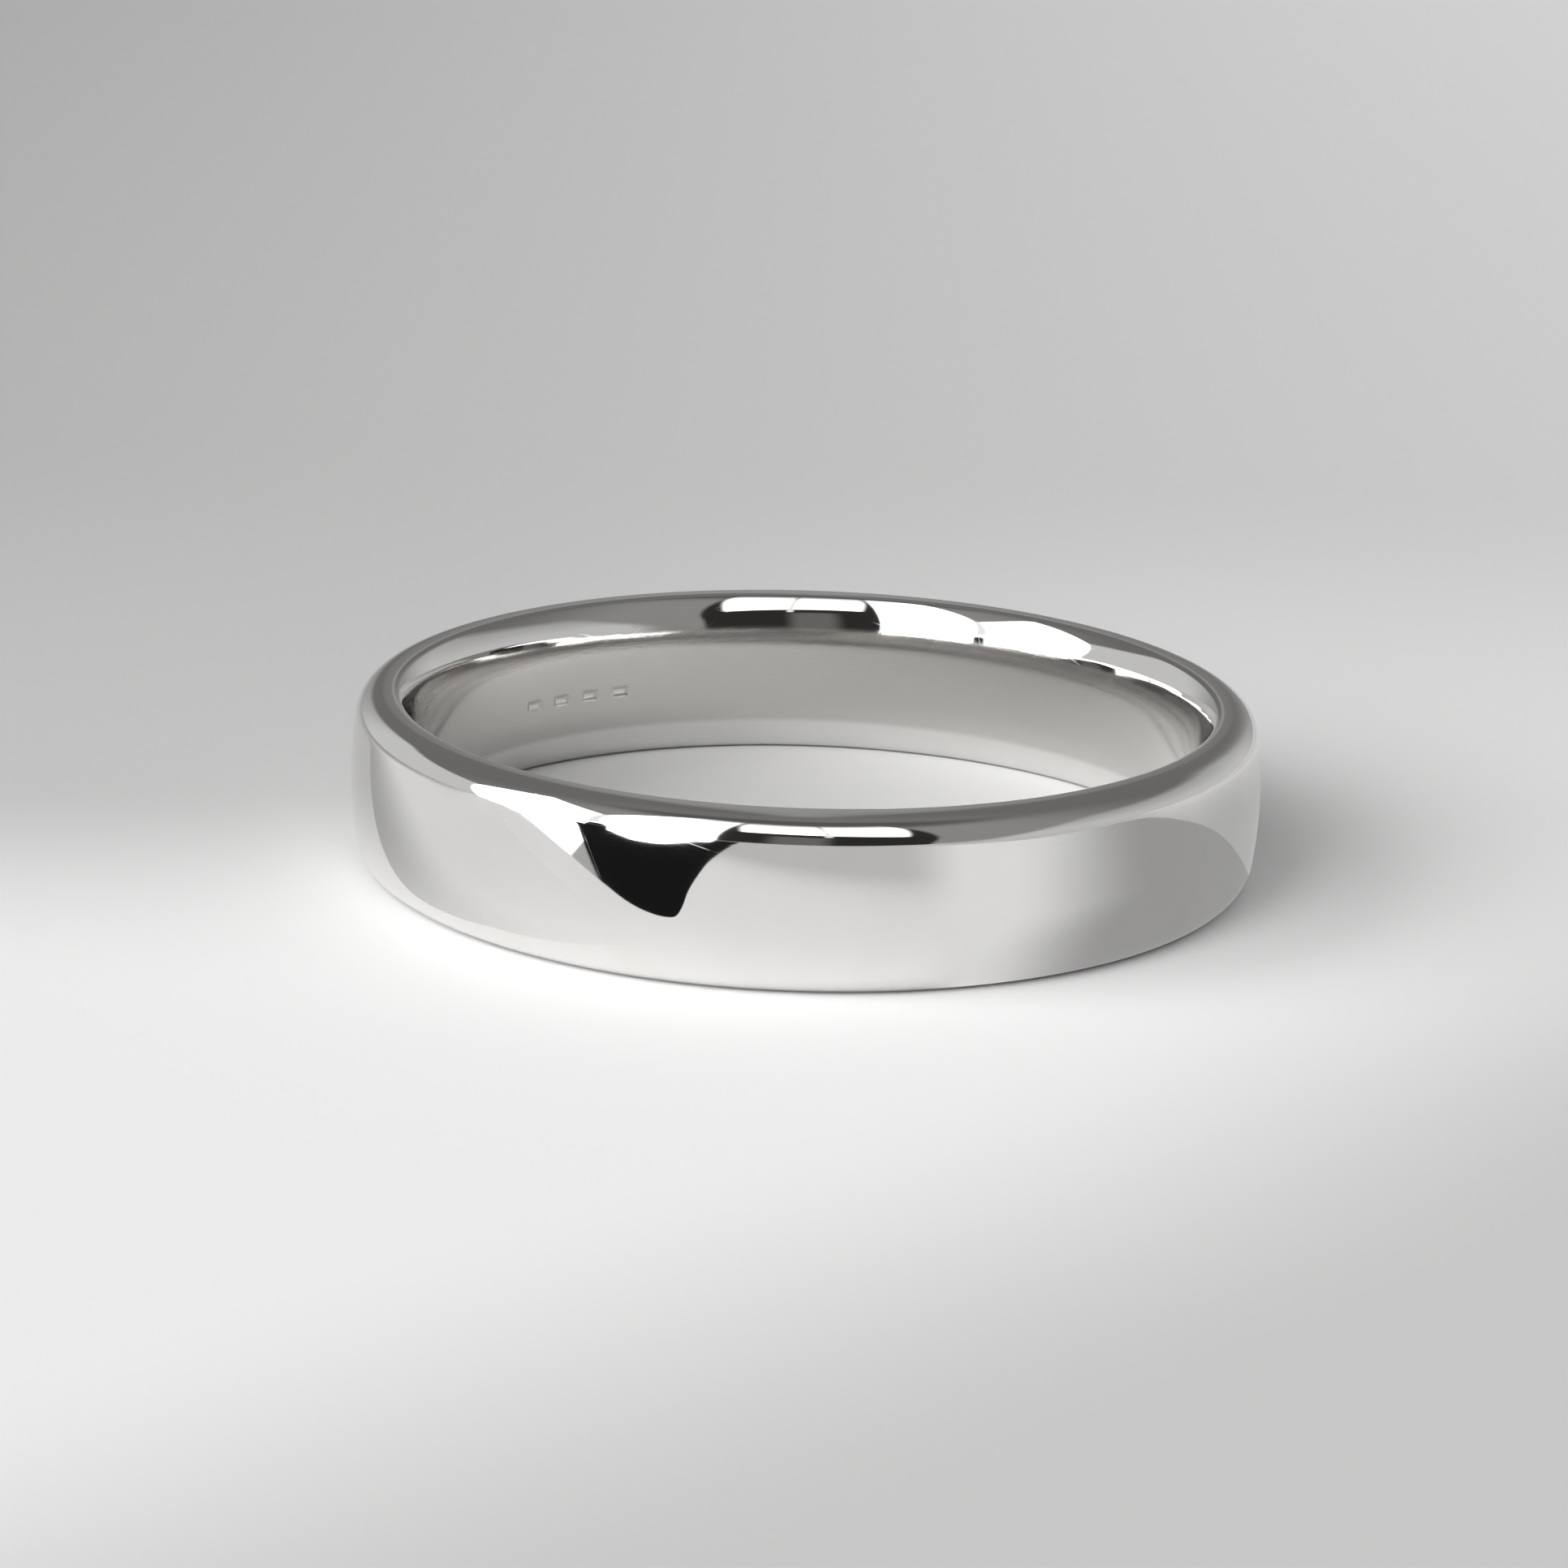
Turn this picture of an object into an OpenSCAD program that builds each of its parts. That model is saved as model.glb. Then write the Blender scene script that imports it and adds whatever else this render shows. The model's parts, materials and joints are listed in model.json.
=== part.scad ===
// Plain wedding band: one solid ring of white metal with a domed outside and a comfort-fit inside.
// The origin is the centre of the ring and +Z runs along the finger. Sizes are in millimetres.

/* [Ring size] */
// Inside diameter at the middle of the band
bore_d = 18.3; // [15:0.1:23]
// Width of the band along the finger
band_w = 4; // [3.8:0.1:8]
// Thickness of the metal at the middle of the band
band_t = 1.45; // [1.45:0.05:2.1]

/* [Edges] */
// How far outside the bore the flat of the edge starts
edge_in = 0.52; // [0.5:0.01:0.55]
// Width of the narrow flat that the band rests on
edge_flat = 0.18; // [0.05:0.01:0.2]
// Radius that rounds the crown into the flat
crown_round = 0.65; // [0.3:0.01:0.65]
// Radius that rounds the inner shoulder into the flat
shoulder_round = 0.25; // [0.2:0.01:0.28]
// Height of the inner shoulder, from the straight part of the bore to the edge
shoulder_h = 1.35; // [1.25:0.05:1.4]
// Radius of the gentle curve that the shoulder starts with, next to the straight part of the bore
comfort_r = 3.7; // [3.4:0.1:4]
// Angle that the gentle curve turns through
comfort_turn = 12; // [9:0.5:12]

/* [Blank marks] */
// Number of blank punch marks in the row inside the band
mark_count = 4; // [1:1:6]
// Width of one mark, round the bore
mark_w = 0.5; // [0.3:0.05:0.6]
// Height of one mark, along the finger
mark_h = 0.3; // [0.2:0.05:0.4]
// Depth of one mark at its middle
mark_depth = 0.04; // [0.03:0.01:0.1]
// Height of the row above the middle of the band
mark_z = -0.25; // [-0.25:0.05:0.25]
// Angle between one mark and the next
mark_step = 5.5; // [5:0.5:12]
// Where the middle of the row is, counted from +X towards +Y
mark_angle = 129; // [0:1:359]

/* [Hidden] */
$fn = 240;
half_w = band_w / 2;
bore_r = bore_d / 2;
outer_r = bore_r + band_t;
bore_top = half_w - shoulder_h;
flat_r = bore_r + edge_in;
cut = 1;

// Each side of the upper half runs over one large arc into a small arc that ends in the edge
// flat. This is the large arc's radius: the arc leaves the point p at a right angle to the unit
// vector inward, which points from p to its centre, and it touches the small arc of radius r
// that is centred at s.
function large_r(p, inward, s, r) =
    (r * r - (p - s) * (p - s)) / (2 * ((p - s) * inward + r));

// Where arc (c, r) touches a smaller arc inside it that is centred at s.
function touch(c, r, s) = c + (s - c) * r / norm(s - c);
function below(p) = [p[0], -p[1]];

// The crown outside, centred on the middle plane.
outer_c = [flat_r + edge_flat, half_w - crown_round];
crown_r = large_r([outer_r, 0], [-1, 0], outer_c, crown_round);
crown_c = [outer_r - crown_r, 0];

// The shoulder inside: a gentle curve that leaves the straight part of the bore without a step,
// and a tighter one that carries on from its end.
inner_c = [flat_r, half_w - shoulder_round];
comfort_c = [bore_r + comfort_r, bore_top];
comfort_in = [cos(comfort_turn), -sin(comfort_turn)];
comfort_end = comfort_c - comfort_r * comfort_in;
shoulder_r = large_r(comfort_end, comfort_in, inner_c, shoulder_round);
shoulder_c = comfort_end + shoulder_r * comfort_in;

crown_end = touch(crown_c, crown_r, outer_c);
flat_out = [outer_c[0], half_w];
flat_in = [inner_c[0], half_w];
shoulder_end = touch(shoulder_c, shoulder_r, inner_c);
bore_end = [bore_r, bore_top];

// The piece of a disc between the chord p-q and the disc's rim.
module arc_pad(c, r, p, q) {
    middle = (p + q) / 2;
    depth = norm(middle - c);
    tip = c + (middle - c) * r * r / (depth * depth);
    intersection() {
        translate(c) circle(r, $fn = max(48, 24 * r));
        polygon([p, tip, q]);
    }
}

// The rounded pads of the upper half of the cross-section.
module upper_pads() {
    arc_pad(outer_c, crown_round, crown_end, flat_out);
    arc_pad(inner_c, shoulder_round, flat_in, shoulder_end);
    arc_pad(shoulder_c, shoulder_r, shoulder_end, comfort_end);
    arc_pad(comfort_c, comfort_r, comfort_end, bore_end);
}

// The band's cross-section: a straight-sided core with a pad on it for every arc.
module section() {
    upper = [crown_end, flat_out, flat_in, shoulder_end, comfort_end, bore_end];
    lower = [for (i = [len(upper) - 1:-1:0]) below(upper[i])];
    polygon(concat(upper, lower));
    arc_pad(crown_c, crown_r, below(crown_end), crown_end);
    upper_pads();
    mirror([0, 1]) upper_pads();
}

// One blank punch mark, pressed into the bore from inside: a plain oblong with soft corners.
module mark() {
    corner = mark_h / 4;
    translate([bore_r - cut, 0, mark_z])
        rotate([0, 90, 0])
            linear_extrude(cut + mark_depth) {
                square([mark_h, mark_w - 2 * corner], center = true);
                square([mark_h - 2 * corner, mark_w], center = true);
                for (x = [-1, 1], y = [-1, 1])
                    translate([x * (mark_h / 2 - corner), y * (mark_w / 2 - corner)])
                        circle(corner, $fn = 32);
            }
}

module marks() {
    for (i = [0:mark_count - 1])
        rotate([0, 0, mark_angle + (i - (mark_count - 1) / 2) * mark_step]) mark();
}

module band() {
    color("gainsboro")
        difference() {
            rotate_extrude() section();
            marks();
        }
}

band();
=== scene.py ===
import json
import math
import bpy
import numpy as np
from mathutils import Matrix, Vector


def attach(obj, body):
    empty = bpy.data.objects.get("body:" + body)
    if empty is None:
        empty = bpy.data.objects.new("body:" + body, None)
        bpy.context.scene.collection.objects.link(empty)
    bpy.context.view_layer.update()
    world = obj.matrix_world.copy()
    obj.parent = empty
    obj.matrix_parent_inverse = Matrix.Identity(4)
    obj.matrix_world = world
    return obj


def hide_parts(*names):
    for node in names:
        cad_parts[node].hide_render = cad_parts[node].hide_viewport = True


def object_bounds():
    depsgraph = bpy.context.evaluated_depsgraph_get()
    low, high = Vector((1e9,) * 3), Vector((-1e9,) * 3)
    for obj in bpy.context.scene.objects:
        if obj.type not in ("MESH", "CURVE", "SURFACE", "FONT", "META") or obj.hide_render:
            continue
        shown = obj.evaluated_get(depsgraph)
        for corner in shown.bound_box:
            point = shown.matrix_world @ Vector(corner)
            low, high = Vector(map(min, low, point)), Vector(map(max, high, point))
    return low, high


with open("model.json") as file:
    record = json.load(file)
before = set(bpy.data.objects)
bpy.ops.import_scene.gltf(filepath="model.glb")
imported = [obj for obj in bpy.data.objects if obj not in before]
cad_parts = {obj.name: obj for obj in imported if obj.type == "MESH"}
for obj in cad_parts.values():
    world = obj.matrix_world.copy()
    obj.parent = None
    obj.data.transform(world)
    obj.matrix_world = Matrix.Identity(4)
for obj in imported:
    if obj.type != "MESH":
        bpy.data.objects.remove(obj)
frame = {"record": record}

MM = 0.001
scene = bpy.context.scene
cad_lo, cad_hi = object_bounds()

# ---------------------------------------------------------------- sizes
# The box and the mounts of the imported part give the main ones, and the rest repeat part.scad.
mounts = {m["name"]: m for m in frame["record"]["mounts"]}
HALF_W = cad_hi.z
OUTER_R = min(cad_hi.x, cad_hi.y)
BORE_R = mounts["finger_bore"]["dims"]["r_mm"] * MM
BORE_TOP = mounts["finger_bore"]["dims"]["length_mm"] * MM / 2
EDGE_FLAT = 0.18 * MM
FLAT_IN = mounts["rest_edge"]["pos_m"][0] - EDGE_FLAT / 2
CROWN_ROUND = 0.65 * MM
SHOULDER_ROUND = 0.25 * MM
COMFORT_R, COMFORT_TURN = 3.7 * MM, 12.0
MARK_COUNT, MARK_STEP, MARK_ANGLE = 4, 5.5, 129.0
MARK_W, MARK_H, MARK_DEPTH, MARK_Z = 0.5 * MM, 0.3 * MM, 0.04 * MM, -0.25 * MM
# Width of the slope between a mark's edge and its floor.
MARK_SLOPE = 0.13 * MM
# The finer mesh reaches a little beyond the marks: in degrees round the bore, and up and down.
REACH_ROUND, REACH_UP = 2.4, MARK_H * 0.7
# Steps round the ring: across the row of marks, and over the rest.
FINE_STEPS, COARSE_STEPS = 165, 284


# ---------------------------------------------------------------- the band
def large_arc(start, inward, small_c, small_r):
    """Centre and radius of the arc that leaves start, curving inward, and touches the small arc."""
    gap = np.subtract(start, small_c)
    radius = (small_r * small_r - gap @ gap) / (2 * (gap @ inward + small_r))
    return np.add(start, radius * np.array(inward)), radius


def direction(tip, tail):
    """The direction from tail to tip, in degrees."""
    return math.degrees(math.atan2(tip[1] - tail[1], tip[0] - tail[0]))


def arc(centre, radius, start, end, steps):
    """Points of an arc from start to end degrees, without the last one."""
    turn = np.radians(np.linspace(start, end, steps, endpoint=False))
    return [(centre[0] + radius * math.cos(t), centre[1] + radius * math.sin(t)) for t in turn]


def flip(centre):
    """The same centre in the lower half of the cross-section."""
    return centre[0], -centre[1]


def profile():
    """The closed cross-section as (radius, z): up from the middle of the crown, over the top edge,
    down the bore, and round the lower edge back to the start."""
    flat_out = FLAT_IN + EDGE_FLAT
    outer_c = (flat_out, HALF_W - CROWN_ROUND)
    crown_c, crown_r = large_arc((OUTER_R, 0.0), (-1.0, 0.0), outer_c, CROWN_ROUND)
    crown_end = direction(outer_c, crown_c)
    inner_c = (FLAT_IN, HALF_W - SHOULDER_ROUND)
    comfort_c = (BORE_R + COMFORT_R, BORE_TOP)
    swing = math.radians(COMFORT_TURN)
    comfort_in = (math.cos(swing), -math.sin(swing))
    comfort_end = np.subtract(comfort_c, COMFORT_R * np.array(comfort_in))
    shoulder_c, shoulder_r = large_arc(comfort_end, comfort_in, inner_c, SHOULDER_ROUND)
    lean, leave = direction(inner_c, shoulder_c), 180 - COMFORT_TURN
    points = arc(crown_c, crown_r, 0, crown_end, 20)
    points += arc(outer_c, CROWN_ROUND, crown_end, 90, 24)
    points += [(flat_out - EDGE_FLAT * k / 3, HALF_W) for k in range(3)]
    points += arc(inner_c, SHOULDER_ROUND, 90, lean, 12)
    points += arc(shoulder_c, shoulder_r, lean, leave, 14)
    points += arc(comfort_c, COMFORT_R, leave, 180, 14)
    fine_lo, fine_hi = MARK_Z - REACH_UP, MARK_Z + REACH_UP
    for top, low, steps in ((BORE_TOP, fine_hi, 6), (fine_hi, fine_lo, 22), (fine_lo, -BORE_TOP, 3)):
        points += [(BORE_R, z) for z in np.linspace(top, low, steps, endpoint=False)]
    points += arc(flip(comfort_c), COMFORT_R, 180, 360 - leave, 14)
    points += arc(flip(shoulder_c), shoulder_r, 360 - leave, 360 - lean, 14)
    points += arc(flip(inner_c), SHOULDER_ROUND, 360 - lean, 270, 12)
    points += [(FLAT_IN + EDGE_FLAT * k / 3, -HALF_W) for k in range(3)]
    points += arc(flip(outer_c), CROWN_ROUND, 270, 360 - crown_end, 24)
    points += arc(crown_c, crown_r, -crown_end, 0, 20)
    return np.array(points)


def turns():
    """Angles round the band in radians: even steps, and finer ones across the row of marks."""
    span = MARK_STEP * (MARK_COUNT - 1) / 2 + REACH_ROUND
    first, last = MARK_ANGLE - span, MARK_ANGLE + span
    fine = np.linspace(first, last, FINE_STEPS, endpoint=False)
    coarse = np.linspace(last, first + 360, COARSE_STEPS, endpoint=False)
    return np.radians(np.concatenate([fine, coarse]))


def mark_depth(angle, z):
    """How deep the punch marks are at (angle, z) of the bore: oblongs with round corners."""
    total = np.zeros(np.broadcast(angle, z).shape)
    corner = MARK_H / 4
    for i in range(MARK_COUNT):
        middle = math.radians(MARK_ANGLE + (i - (MARK_COUNT - 1) / 2) * MARK_STEP)
        across, along = (angle - middle) * BORE_R, z - MARK_Z
        dx = np.abs(across) - MARK_W / 2 + corner
        dz = np.abs(along) - MARK_H / 2 + corner
        outside = np.hypot(np.maximum(dx, 0), np.maximum(dz, 0))
        gap = outside + np.minimum(np.maximum(dx, dz), 0) - corner
        wall = np.clip(-gap / MARK_SLOPE, 0, 1)
        total = np.maximum(total, wall * wall * (3 - 2 * wall))
    return total * MARK_DEPTH


def build_band():
    """The whole band as one closed mesh: the cross-section, repeated round the ring."""
    shape, around = profile(), turns()
    rows, cols = len(around), len(shape)
    radius = np.repeat(shape[None, :, 0], rows, 0)
    height = np.repeat(shape[None, :, 1], rows, 0)
    on_bore = (np.abs(shape[:, 1]) < BORE_TOP) & (shape[:, 0] < BORE_R + 1e-9)
    radius = radius + mark_depth(around[:, None], shape[None, :, 1]) * on_bore[None, :]
    spots = np.stack([radius * np.cos(around)[:, None], radius * np.sin(around)[:, None], height], -1)
    i, j = np.meshgrid(np.arange(rows), np.arange(cols), indexing="ij")
    after, below = (i + 1) % rows, (j + 1) % cols
    quads = np.stack([i * cols + j, after * cols + j, after * cols + below, i * cols + below], -1)
    mesh = bpy.data.meshes.new("white_gold_band")
    mesh.from_pydata(spots.reshape(-1, 3).tolist(), [], quads.reshape(-1, 4).tolist())
    # UVs in millimetres: along the circumference, and along the cross-section.
    steps = np.linalg.norm(np.diff(np.vstack([shape, shape[:1]]), axis=0), axis=1)
    along = np.concatenate([[0], np.cumsum(steps)]) / MM
    turn = np.concatenate([around, [around[0] + 2 * math.pi]]) * OUTER_R / MM
    u = np.stack([turn[i], turn[i + 1], turn[i + 1], turn[i]], -1)
    v = np.stack([along[j], along[j], along[j + 1], along[j + 1]], -1)
    layer = mesh.uv_layers.new(name="surface_mm")
    layer.data.foreach_set("uv", np.stack([u, v], -1).reshape(-1).astype(np.float32))
    mesh.polygons.foreach_set("use_smooth", np.ones(rows * cols, bool))
    mesh.validate()
    band = bpy.data.objects.new("white_gold_band", mesh)
    scene.collection.objects.link(band)
    return band


# ---------------------------------------------------------------- small helpers for node trees
class Tree:
    """A node tree, written from its inputs towards its output."""
    def __init__(self, owner):
        owner.use_nodes = True
        self.tree = owner.node_tree
        self.tree.nodes.clear()

    def node(self, kind, inputs=None, **settings):
        made = self.tree.nodes.new(kind)
        for name, value in settings.items():
            setattr(made, name, value)
        for name, value in (inputs or {}).items():
            self.put(value, made.inputs[name])
        return made

    def put(self, value, socket):
        """Links a socket's value, or sets a plain one."""
        if isinstance(value, bpy.types.NodeSocket):
            self.tree.links.new(value, socket)
        else:
            socket.default_value = value

    def math(self, operation, *values, clamp=False):
        made = self.node("ShaderNodeMath", operation=operation, use_clamp=clamp)
        for socket, value in zip(made.inputs, values):
            self.put(value, socket)
        return made.outputs[0]

    def smooth(self, value, low, high, to_low=0.0, to_high=1.0):
        """to_low below low, to_high above high, and a smooth step between them."""
        made = self.node("ShaderNodeMapRange", interpolation_type="SMOOTHSTEP")
        for name, number in (("Value", value), ("From Min", low), ("From Max", high),
                             ("To Min", to_low), ("To Max", to_high)):
            self.put(number, made.inputs[name])
        return made.outputs[0]

    def mix(self, factor, a, b):
        """Colour a where the factor is 0 and b where it is 1."""
        # In a colour mix, inputs 6 and 7 are the colours and output 2 is the result.
        made = self.node("ShaderNodeMix", data_type="RGBA")
        self.put(factor, made.inputs[0])
        self.put(a, made.inputs[6])
        self.put(b, made.inputs[7])
        return made.outputs[2]

    def noise(self, vector, scale, detail=2.0, roughness=0.5):
        made = self.node("ShaderNodeTexNoise", {"Vector": vector, "Scale": scale, "Detail": detail,
                         "Roughness": roughness})
        return made.outputs[0]

    def stretch(self, vector, x, y, z, turn=0.0):
        """The vector turned by some degrees and scaled along each axis."""
        made = self.node("ShaderNodeMapping", {"Vector": vector, "Scale": (x, y, z),
                         "Rotation": (0, 0, math.radians(turn))})
        return made.outputs[0]

    def distance(self, x, y):
        """How far (x, y) is from the origin."""
        return self.math("SQRT", self.math("ADD", self.math("MULTIPLY", x, x),
                                           self.math("MULTIPLY", y, y)))

    def bearing(self, x, y):
        """The azimuth of the direction (x, y): 0 towards the camera, positive to the right; degrees."""
        return self.math("MULTIPLY", self.math("ARCTAN2", x, self.math("MULTIPLY", y, -1.0)),
                         180 / math.pi)

    def finish(self, shader, output="ShaderNodeOutputMaterial"):
        """Ends the tree with the shader's result."""
        self.tree.links.new(shader.outputs[0], self.node(output).inputs[0])


def grey(level, warm=0.0):
    """A grey, a little redder and less blue when warm is above 0."""
    return (level * (1 + warm), level, level * (1 - warm), 1)


# ---------------------------------------------------------------- white gold
def white_gold():
    material = bpy.data.materials.new("white_gold")
    t = Tree(material)
    coords = t.node("ShaderNodeTexCoord").outputs
    place, surface = coords["Object"], coords["UV"]
    x, y, z = t.node("ShaderNodeSeparateXYZ", {"Vector": place}).outputs
    radius = t.distance(x, y)

    # satin: the less polished part of the bore, up to the shoulders. stamped: inside the marks.
    high = t.math("ABSOLUTE", z)
    inside = t.smooth(radius, BORE_R + 0.2 * MM, BORE_R + 0.5 * MM, 1.0, 0.0)
    level = t.smooth(high, BORE_TOP + 0.46 * MM, BORE_TOP + 0.66 * MM, 1.0, 0.0)
    satin = t.math("MULTIPLY", inside, level)
    stamped = t.math("MULTIPLY", t.smooth(radius, BORE_R + 0.01 * MM, BORE_R + 0.04 * MM),
                     t.smooth(high, BORE_TOP * 0.8, BORE_TOP * 0.9, 1.0, 0.0))
    stamped = t.math("MULTIPLY", stamped, inside)

    # Fine polishing lines run round the band; a few hairlines cross them.
    lines = t.noise(t.stretch(surface, 0.15, 28.0, 1.0), 1.0, 3.0, 0.6)
    hair = None
    for turn, seed in ((14.0, 3.1), (-22.0, 7.7), (63.0, 12.9)):
        turned = t.stretch(surface, 1.0, 1.0, 1.0, turn)
        moved = t.node("ShaderNodeVectorMath", operation="ADD")
        t.put(turned, moved.inputs[0])
        moved.inputs[1].default_value = (seed, seed * 2, 0)
        raw = t.noise(t.stretch(moved.outputs[0], 0.5, 38.0, 1.0), 1.0, 0.0)
        line = t.smooth(raw, 0.80, 0.87)
        hair = line if hair is None else t.math("MAXIMUM", hair, line)
    clouds = t.noise(place, 420.0, 4.0, 0.55)
    grain = t.noise(t.stretch(surface, 2.2, 16.0, 1.0), 1.0, 4.0, 0.65)
    pits = t.noise(place, 9000.0, 2.0, 0.6)
    drift = t.noise(place, 160.0, 1.0, 0.4)

    # Roughness, for the polished metal and for the satin part.
    smudge = t.smooth(clouds, 0.38, 0.72)
    polished = t.math("ADD", 0.030, t.math("MULTIPLY", smudge, 0.018))
    polished = t.math("ADD", polished, t.math("MULTIPLY", hair, 0.05))
    brushed = t.math("ADD", 0.055, t.math("MULTIPLY", smudge, 0.04))
    brushed = t.math("ADD", brushed, t.math("MULTIPLY", grain, 0.03))
    brushed = t.math("ADD", brushed, t.math("MULTIPLY", stamped, 0.2))
    span = t.math("SUBTRACT", brushed, polished)
    rough = t.math("ADD", polished, t.math("MULTIPLY", satin, span), clamp=True)

    # Bump, with heights in micrometres.
    shine = t.math("ADD", t.math("MULTIPLY", lines, 0.05), t.math("MULTIPLY", drift, 1.2))
    shine = t.math("SUBTRACT", shine, t.math("MULTIPLY", hair, 0.10))
    matt = t.math("ADD", t.math("MULTIPLY", grain, 1.3), t.math("MULTIPLY", pits, 0.8))
    matt = t.math("ADD", matt, t.math("MULTIPLY", clouds, 2.5))
    relief = t.math("ADD", shine, t.math("MULTIPLY", satin, matt))
    bump = t.node("ShaderNodeBump", {"Height": relief, "Strength": 1.0, "Distance": 1e-6})

    # Colours.
    tone = t.math("ADD", t.math("MULTIPLY", clouds, 0.5), t.math("MULTIPLY", grain, 0.5))
    bright = t.mix(smudge, (0.800, 0.794, 0.782, 1), (0.778, 0.771, 0.756, 1))
    dull = t.mix(tone, (0.545, 0.531, 0.510, 1), (0.635, 0.621, 0.601, 1))
    colour = t.mix(satin, bright, dull)
    colour = t.mix(stamped, colour, (0.76, 0.745, 0.72, 1))
    # Fine scratches in the bore scatter a little of the light, as a haze.
    metal = t.smooth(satin, 0.0, 1.0, 1.0, 0.9)
    shader = t.node("ShaderNodeBsdfPrincipled", {"Base Color": colour, "Metallic": metal,
                    "Roughness": rough, "Normal": bump.outputs[0]})
    t.finish(shader)
    return material


band = build_band()
band.data.materials.append(white_gold())
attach(band, "root")
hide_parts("band")


# ---------------------------------------------------------------- pale floor, with painted shade
FLOOR_RADIUS = 1.6


def floor_material():
    """Pale, with soft painted shade: darker at the lower right, and behind on the left."""
    material = bpy.data.materials.new("pale_floor")
    t = Tree(material)
    coords = t.node("ShaderNodeTexCoord").outputs["Object"]
    across, far, _ = t.node("ShaderNodeSeparateXYZ", {"Vector": coords}).outputs
    soft = t.noise(coords, 25.0, 2.0, 0.4)
    away = t.math("ADD", far, t.math("MULTIPLY", soft, 0.01))
    lower = t.math("SUBTRACT", t.math("MULTIPLY", across, 0.9), t.math("MULTIPLY", away, 0.8))
    # Painted shade: darker across a soft diagonal towards the lower right, in a strip just behind the ring
    # that is darker on its left, and far behind on the left.
    front = t.mix(t.smooth(lower, 0.009, 0.026), grey(0.87), grey(0.60))
    middle = t.mix(t.smooth(across, -0.012, 0.014), grey(0.56), grey(0.76))
    back = t.mix(t.smooth(across, -0.08, 0.08), grey(0.40), grey(0.70))
    colour = t.mix(t.smooth(away, -0.006, 0.010), front, middle)
    colour = t.mix(t.smooth(away, 0.010, 0.050), colour, back)
    shader = t.node("ShaderNodeBsdfPrincipled", {"Base Color": colour, "Roughness": 0.9,
                    "Specular IOR Level": 0.0})
    t.finish(shader)
    return material


def build_floor():
    rim = [(x, y, 0) for x, y in arc((0, 0), FLOOR_RADIUS, 0, 360, 72)]
    mesh = bpy.data.meshes.new("floor")
    mesh.from_pydata(rim, [], [list(range(len(rim)))])
    floor = bpy.data.objects.new("floor", mesh)
    floor.location.z = cad_lo.z
    floor.data.materials.append(floor_material())
    scene.collection.objects.link(floor)


build_floor()


# ---------------------------------------------------------------- soft studio light
def toward(azimuth, elevation):
    """Direction: azimuth 0 is towards the camera, positive to the right; degrees."""
    a, e = math.radians(azimuth), math.radians(elevation)
    return Vector((math.sin(a) * math.cos(e), -math.cos(a) * math.cos(e), math.sin(e)))


def panel(t, look, corners, soft=0.012):
    """Mask of a panel whose corners are given as (azimuth, elevation), seen from the band."""
    spots = [toward(*c) for c in corners]
    middle = sum(spots, Vector()).normalized()
    mask = None
    for a, b in zip(spots, spots[1:] + spots[:1]):
        normal = a.cross(b).normalized()
        if normal.dot(middle) < 0:
            normal = -normal
        dot = t.node("ShaderNodeVectorMath", operation="DOT_PRODUCT")
        t.put(look, dot.inputs[0])
        dot.inputs[1].default_value = normal
        edge = t.smooth(dot.outputs["Value"], -soft, soft)
        mask = edge if mask is None else t.math("MULTIPLY", mask, edge)
    return mask


# Brightness of the two windows.
WINDOW_LEFT, WINDOW_HIGH = 4.6, 2.8


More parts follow.
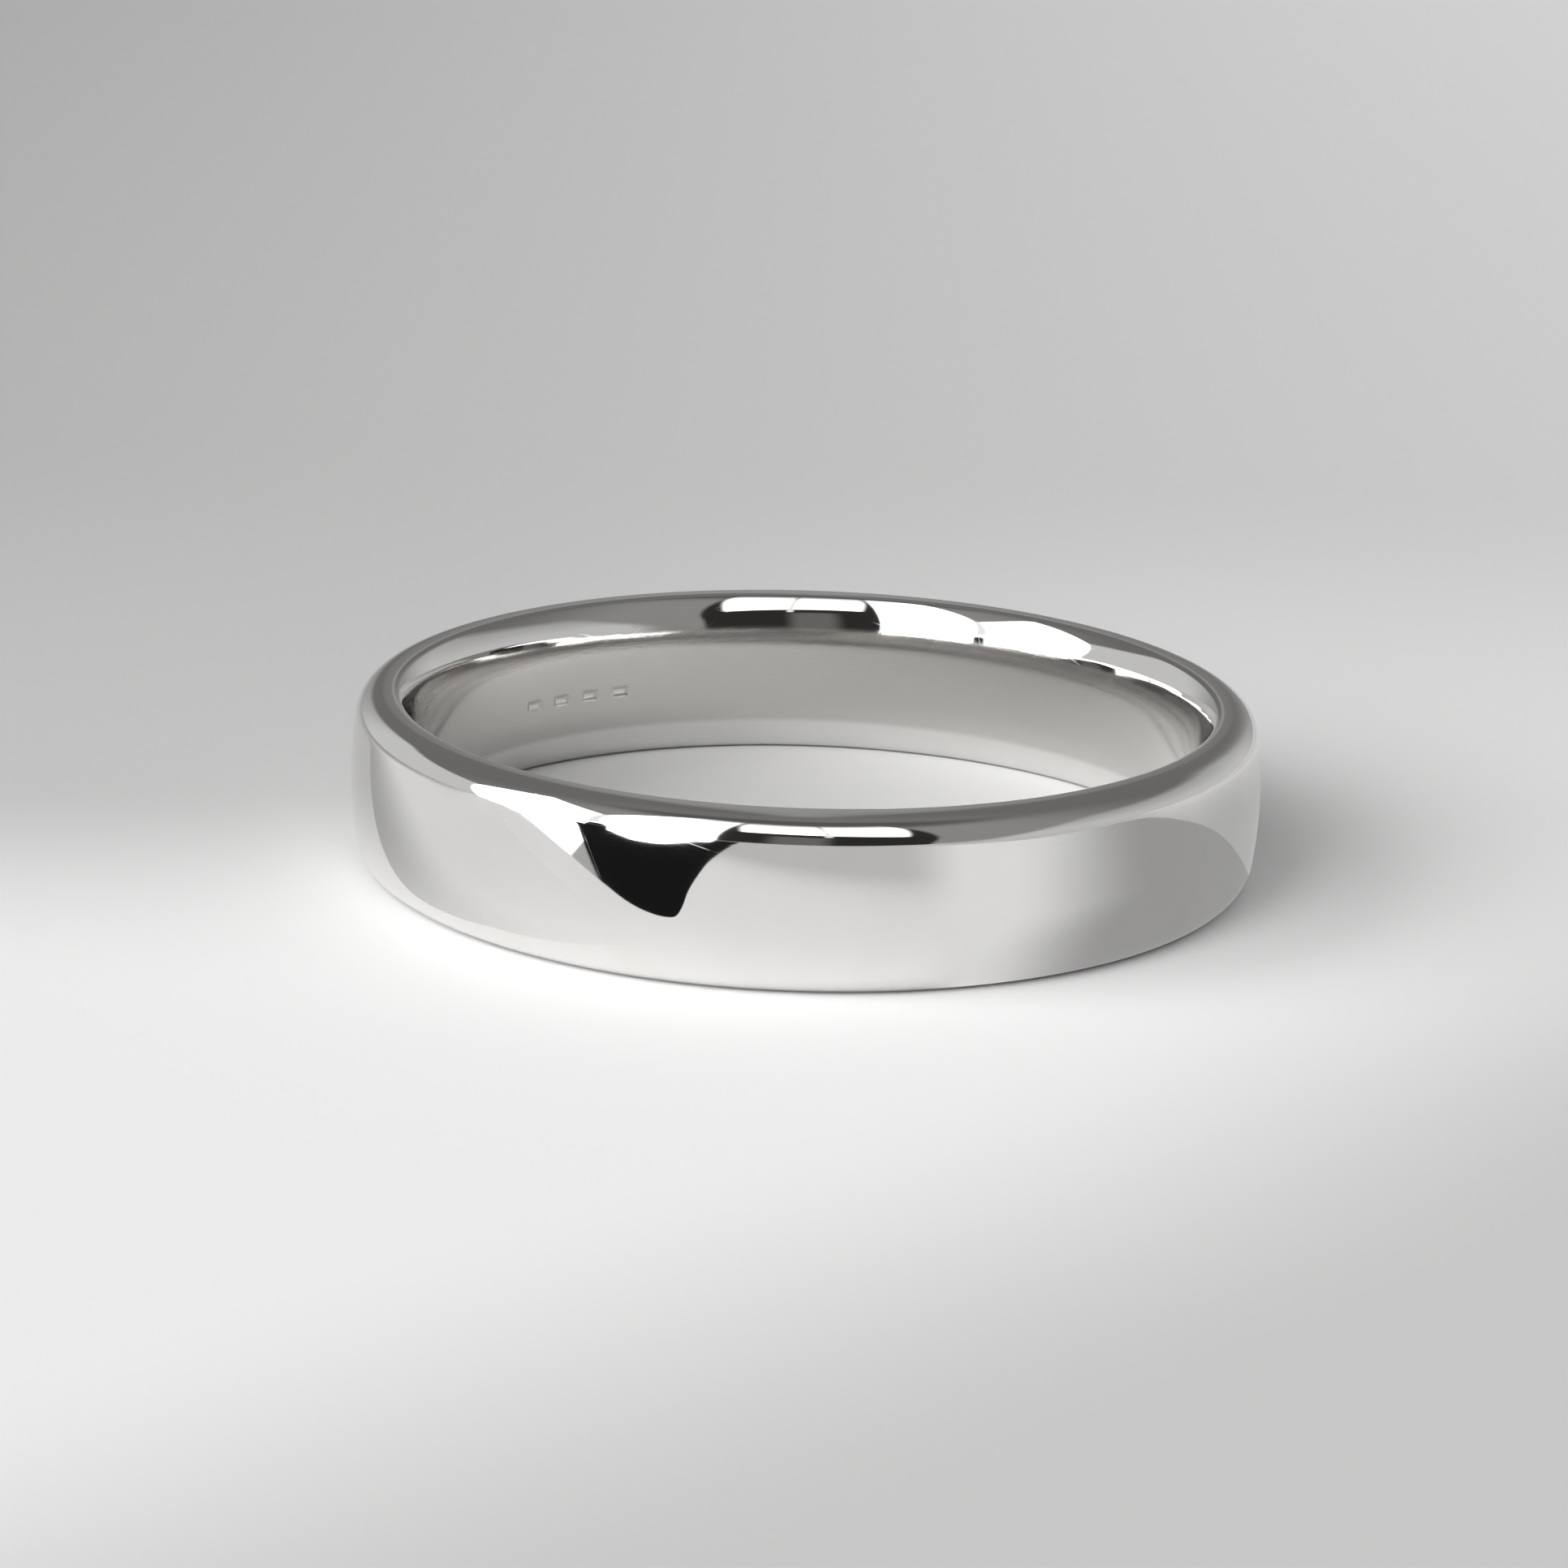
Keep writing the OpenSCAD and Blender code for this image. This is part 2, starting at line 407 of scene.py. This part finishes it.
def build_world():
    world = bpy.data.worlds.new("studio")
    scene.world = world
    t = Tree(world)
    look = t.node("ShaderNodeTexCoord").outputs["Generated"]
    x, y, z = t.node("ShaderNodeSeparateXYZ", {"Vector": look}).outputs
    elevation = t.math("MULTIPLY", t.math("ARCSINE", z), 180 / math.pi)
    azimuth = t.bearing(x, y)
    aside = t.math("ABSOLUTE", azimuth)

    # The room: mid-grey walls, darker to the rear and overhead, with a paler patch straight behind.
    walls = t.mix(t.smooth(aside, 55.0, 125.0), grey(0.29, 0.01), grey(0.165, 0.02))
    walls = t.mix(t.smooth(aside, 172.0, 180.0), walls, grey(0.32))
    ceiling = t.mix(t.smooth(aside, 80.0, 120.0), grey(0.11, 0.04), grey(0.19, 0.02))
    room = t.mix(t.smooth(elevation, 60.0, 76.0), walls, ceiling)

    # The pale sweep behind and beside the band, with a softer top on the right.
    rise = t.smooth(aside, 38.0, 85.0, 0.0, 29.5)
    fall = t.smooth(aside, 138.0, 176.0, 0.0, 26.0)
    above = t.math("SUBTRACT", elevation, t.math("SUBTRACT", rise, fall))
    blur = t.smooth(azimuth, -60.0, 60.0, 1.5, 5.0)
    blur = t.math("MULTIPLY", blur, t.smooth(aside, 135.0, 165.0, 1.0, 3.0))
    sweep = t.smooth(t.math("DIVIDE", above, blur), -1.0, 1.0, 1.0, 0.0)
    right = t.mix(t.smooth(elevation, 4.0, 30.0), grey(0.60), grey(0.42))
    pale = t.mix(t.smooth(azimuth, -100.0, -60.0), grey(0.64), right)
    pale = t.mix(t.smooth(aside, 138.0, 166.0), pale, grey(0.33))
    room = t.mix(sweep, room, pale)

    # Dark flag round the camera, a little lighter in the middle.
    flag = panel(t, look, ((-24, -20), (32, -20), (34, 20), (42, 50), (62, 74), (-20, 80), (-34, 66)), 0.02)
    room = t.mix(flag, room, grey(0.028, 0.06))
    room = t.mix(panel(t, look, ((-9, -8), (5, -8), (6, 26), (-8, 28)), 0.05), room, grey(0.15, 0.04))

    # A wide window of two panes on the left, with a bar that has a dark foot, and a high one over
    # the camera, with a thin bar.
    for corners in (((-84, -8), (-53, -8), (-57, 36), (-95, 52), (-97, 28)),
                    ((-52, -8), (-21.5, -8), (-21.5, 40), (-24, 55), (-36, 80), (-60, 80), (-56, 38))):
        room = t.mix(panel(t, look, corners), room, grey(WINDOW_LEFT))
    room = t.mix(panel(t, look, ((-54.5, 8), (-50.5, 8), (-55.3, 38), (-57.6, 37))), room, grey(1.0))
    foot = ((-55.0, -8), (-48.8, -8), (-48.8, 1), (-50.5, 6), (-53.0, 6), (-55.0, 0))
    room = t.mix(panel(t, look, foot, 0.006), room, grey(0.012))
    high = ((-17, 37), (27, 29), (37, 61), (50, 80), (-40, 80), (-26, 66))
    room = t.mix(panel(t, look, high, 0.02), room, grey(WINDOW_HIGH))
    room = t.mix(panel(t, look, ((5.3, 28), (7.3, 28), (7.3, 76), (5.3, 76)), 0.008), room, grey(1.0))
    room = t.mix(t.smooth(elevation, 54.0, 75.0), room, ceiling)

    t.finish(t.node("ShaderNodeBackground", {"Color": room, "Strength": 1.0}), "ShaderNodeOutputWorld")


build_world()
scene.view_settings.view_transform = "Standard"
scene.view_settings.look = "None"


# ---------------------------------------------------------------- cards for the reflections
# The cards on the right start at this radius in millimetres, under the rounding of the lower edge.
FOOT_R = 10.15


def rounded(corners, passes):
    """Cuts the corners of a closed outline, again and again, so that it becomes smooth."""
    for _ in range(passes):
        pairs = list(zip(corners, corners[1:] + corners[:1]))
        corners = [tuple((1 - k) * u + k * v for u, v in zip(a, b)) for a, b in pairs for k in (0.25, 0.75)]
    return corners


def beside(t, x, y, start, end):
    """How far (x, y) is to the right of the line from start to end, which are in millimetres."""
    run, rise = end[0] - start[0], end[1] - start[1]
    length = math.hypot(run, rise)
    return t.math("SUBTRACT", t.math("MULTIPLY", t.math("SUBTRACT", x, start[0] * MM), rise / length),
                  t.math("MULTIPLY", t.math("SUBTRACT", y, start[1] * MM), run / length))


def right_of(t, x, y, start, end, soft):
    """Mask of the right-hand side of the line from start to end; all in millimetres."""
    return t.smooth(beside(t, x, y, start, end), -soft * MM, soft * MM)


def card_tree(name):
    """A new material's node tree, with the x and y of its surface."""
    material = bpy.data.materials.new(name)
    t = Tree(material)
    place = t.node("ShaderNodeTexCoord").outputs["Object"]
    x, y, _ = t.node("ShaderNodeSeparateXYZ", {"Vector": place}).outputs
    return material, t, x, y


def window_material():
    """Painted reflection: as bright as the window, but black inside a bend and along the foot of the window's
    bar.
    """
    material, t, x, y = card_tree("window_card")
    # Azimuth and distance are counted from the spot on the band that mirrors this card.
    from_x, from_y = t.math("ADD", x, 4.2 * MM), t.math("ADD", y, 9.6 * MM)
    azimuth = t.bearing(from_x, from_y)
    away = t.distance(from_x, from_y)
    turn = t.math("ABSOLUTE", t.math("ADD", azimuth, 38.0))
    bend = t.math("MULTIPLY", t.math("POWER", turn, 2.65), 0.035 * MM)
    inside = t.smooth(t.math("SUBTRACT", away, bend), 40 * MM, 43 * MM, 1.0, 0.0)
    near = t.math("MULTIPLY", right_of(t, x, y, (-29, -26), (-11, -15), 0.15), inside)
    foot = t.math("MULTIPLY", t.smooth(azimuth, -55.3, -54.7), t.smooth(azimuth, -49.1, -48.5, 1.0, 0.0))
    foot = t.math("MULTIPLY", foot, t.smooth(away, 20 * MM, 24 * MM))
    black = t.math("MAXIMUM", t.math("MAXIMUM", near, foot), t.smooth(azimuth, -21.7, -21.1))
    frame_end = t.math("MULTIPLY", right_of(t, x, y, (-23.1, -21.7), (-16.9, -16.3), 0.4),
                       t.smooth(away, 24 * MM, 26 * MM, 1.0, 0.0))
    bright = t.mix(frame_end, grey(WINDOW_LEFT), grey(0.46))
    colour = t.mix(black, bright, grey(0.010))
    t.finish(t.node("ShaderNodeEmission", {"Color": colour, "Strength": 1.0}))
    return material


def glow(t, colour, mask):
    """Ends a card's tree: it shows the colour where the mask is 1 and is clear where it is 0."""
    clear = t.node("ShaderNodeBsdfTransparent").outputs[0]
    shown = t.node("ShaderNodeEmission", {"Color": colour, "Strength": 1.0}).outputs[0]
    shader = t.node("ShaderNodeMixShader")
    for socket, value in zip(shader.inputs, (mask, clear, shown)):
        t.put(value, socket)
    t.finish(shader)


def shade_material():
    """The soft shade behind the ridge, clear away from the band."""
    material, t, x, y = card_tree("shade_card")
    mask = t.math("MULTIPLY", t.smooth(x, 16 * MM, 36 * MM, 1.0, 0.0), t.smooth(y, 3 * MM, 14 * MM, 1.0, 0.0))
    glow(t, grey(0.50), mask)
    return material


def ridge_material():
    """A ridge of cloth on the right of the band: lit at the front and in shade at the end."""
    material, t, x, y = card_tree("ridge_card")
    # The azimuth is counted from the point that the edges of the shade run towards.
    azimuth = t.bearing(t.math("SUBTRACT", x, 1.2 * MM), t.math("ADD", y, 6.7 * MM))
    # The shade reaches further forward right next to the band.
    moved = t.math("ADD", azimuth, t.smooth(t.distance(x, y), 11 * MM, 15 * MM, 12.0, 0.0))
    colour = t.mix(t.smooth(moved, 50.0, 90.0), grey(0.86), grey(0.38))
    glow(t, colour, t.smooth(azimuth, 22.0, 40.0))
    return material


def fold_material():
    """Painted reflection of a fold of cloth: painted shade along its crease on the left of the band, and
    lighter away from it.
    """
    material, t, x, y = card_tree("fold_card")
    # across is the distance from the crease, and along runs parallel to it.
    across = beside(t, x, y, (-35.6, 30.7), (-7.8, -8.0))
    along = beside(t, x, y, (0, 0), (-81, -58))
    width = t.smooth(along, -8 * MM, 16 * MM, 0.4 * MM, 7.5 * MM)
    colour = t.mix(t.smooth(t.math("DIVIDE", across, width), 0.0, 1.0), grey(0.42), grey(0.80))
    mask = t.math("MULTIPLY", t.smooth(along, -8 * MM, 10 * MM), t.smooth(along, 20 * MM, 42 * MM, 1.0, 0.0))
    glow(t, colour, t.math("MULTIPLY", mask, t.smooth(across, 12 * MM, 30 * MM, 1.0, 0.0)))
    return material


def build_card(name, outline, material, lift=0.02):
    """A card just over the floor, which only mirror reflections see: not camera, light or shadow."""
    mesh = bpy.data.meshes.new(name)
    mesh.from_pydata([(x * MM, y * MM, 0) for x, y in outline], [], [list(range(len(outline)))])
    card = bpy.data.objects.new(name, mesh)
    card.location.z = cad_lo.z + lift * MM
    card.data.materials.append(material)
    scene.collection.objects.link(card)
    card.visible_camera = card.visible_diffuse = card.visible_shadow = card.visible_transmission = False


def build_cards():
    """The four cards, with their outlines in millimetres."""
    left = [(-5.0, -13.5), (-7.0, -13.6), (-11.0, -15.1), (-21.0, -17.8)]
    left += [(-40.0, -20.0), (-60.0, -18.0), (-600.0, -60.0)]
    right = [(-170.0, -620.0), (-30.0, -107.0), (-12.9, -37.0), (-7.1, -19.2), (-5.0, -14.4)]
    build_card("window_card", rounded(left + right, 3), window_material())

    top = [(16.0, 0.3), (22.8, -0.8), (31.0, -3.5), (40.0, -7.8), (47.0, -12.5), (49.0, -19.0)]
    top += [(47.5, -30.0), (50.0, -44.0), (61.0, -78.0), (75.0, -165.0)]
    rim = arc((0, 0), FOOT_R, -90, 2, 16)
    ridge = rounded(rim + top + [(20.0, -120.0), (0.0, -25.0)], 2)
    build_card("ridge_card", ridge, ridge_material(), 0.04)
    # The shade runs on a little under the ridge.
    rim = arc((0, 0), FOOT_R, -8, 60, 12)
    build_card("shade_card", rim + [(40.0, 20.0), (40.0, -12.0), (18.0, -4.0)], shade_material())

    crease = [(-120.0, 148.2), (-7.8, -8.1), (-5.0, -10.8), (-4.6, -12.0)]
    build_card("fold_card", crease + [(-12.0, -12.6), (-60.0, -14.0), (-190.0, 100.0)], fold_material())


build_cards()


# ---------------------------------------------------------------- camera
def build_camera():
    """At the photograph's viewing angle: pitch and roll in degrees, the position in millimetres."""
    pitch, roll = math.radians(16.1), math.radians(1.75)
    right = Vector((1, 0, 0))
    up = Vector((0, math.sin(pitch), math.cos(pitch)))
    forward = Vector((0, math.cos(pitch), -math.sin(pitch)))
    place = Vector((-0.5, 0, 0)) + up * -0.25 + forward * -107.9
    side = right * math.cos(roll) + up * math.sin(roll)
    top = -right * math.sin(roll) + up * math.cos(roll)
    data = bpy.data.cameras.new("camera")
    data.sensor_width = 36.0
    data.lens = 105.9
    data.clip_start, data.clip_end = 0.005, 10.0
    camera = bpy.data.objects.new("camera", data)
    turn = Matrix((side, top, -forward)).transposed()
    camera.matrix_world = Matrix.Translation(place * MM) @ turn.to_4x4()
    scene.collection.objects.link(camera)
    scene.camera = camera


build_camera()
bpy.context.view_layer.update()
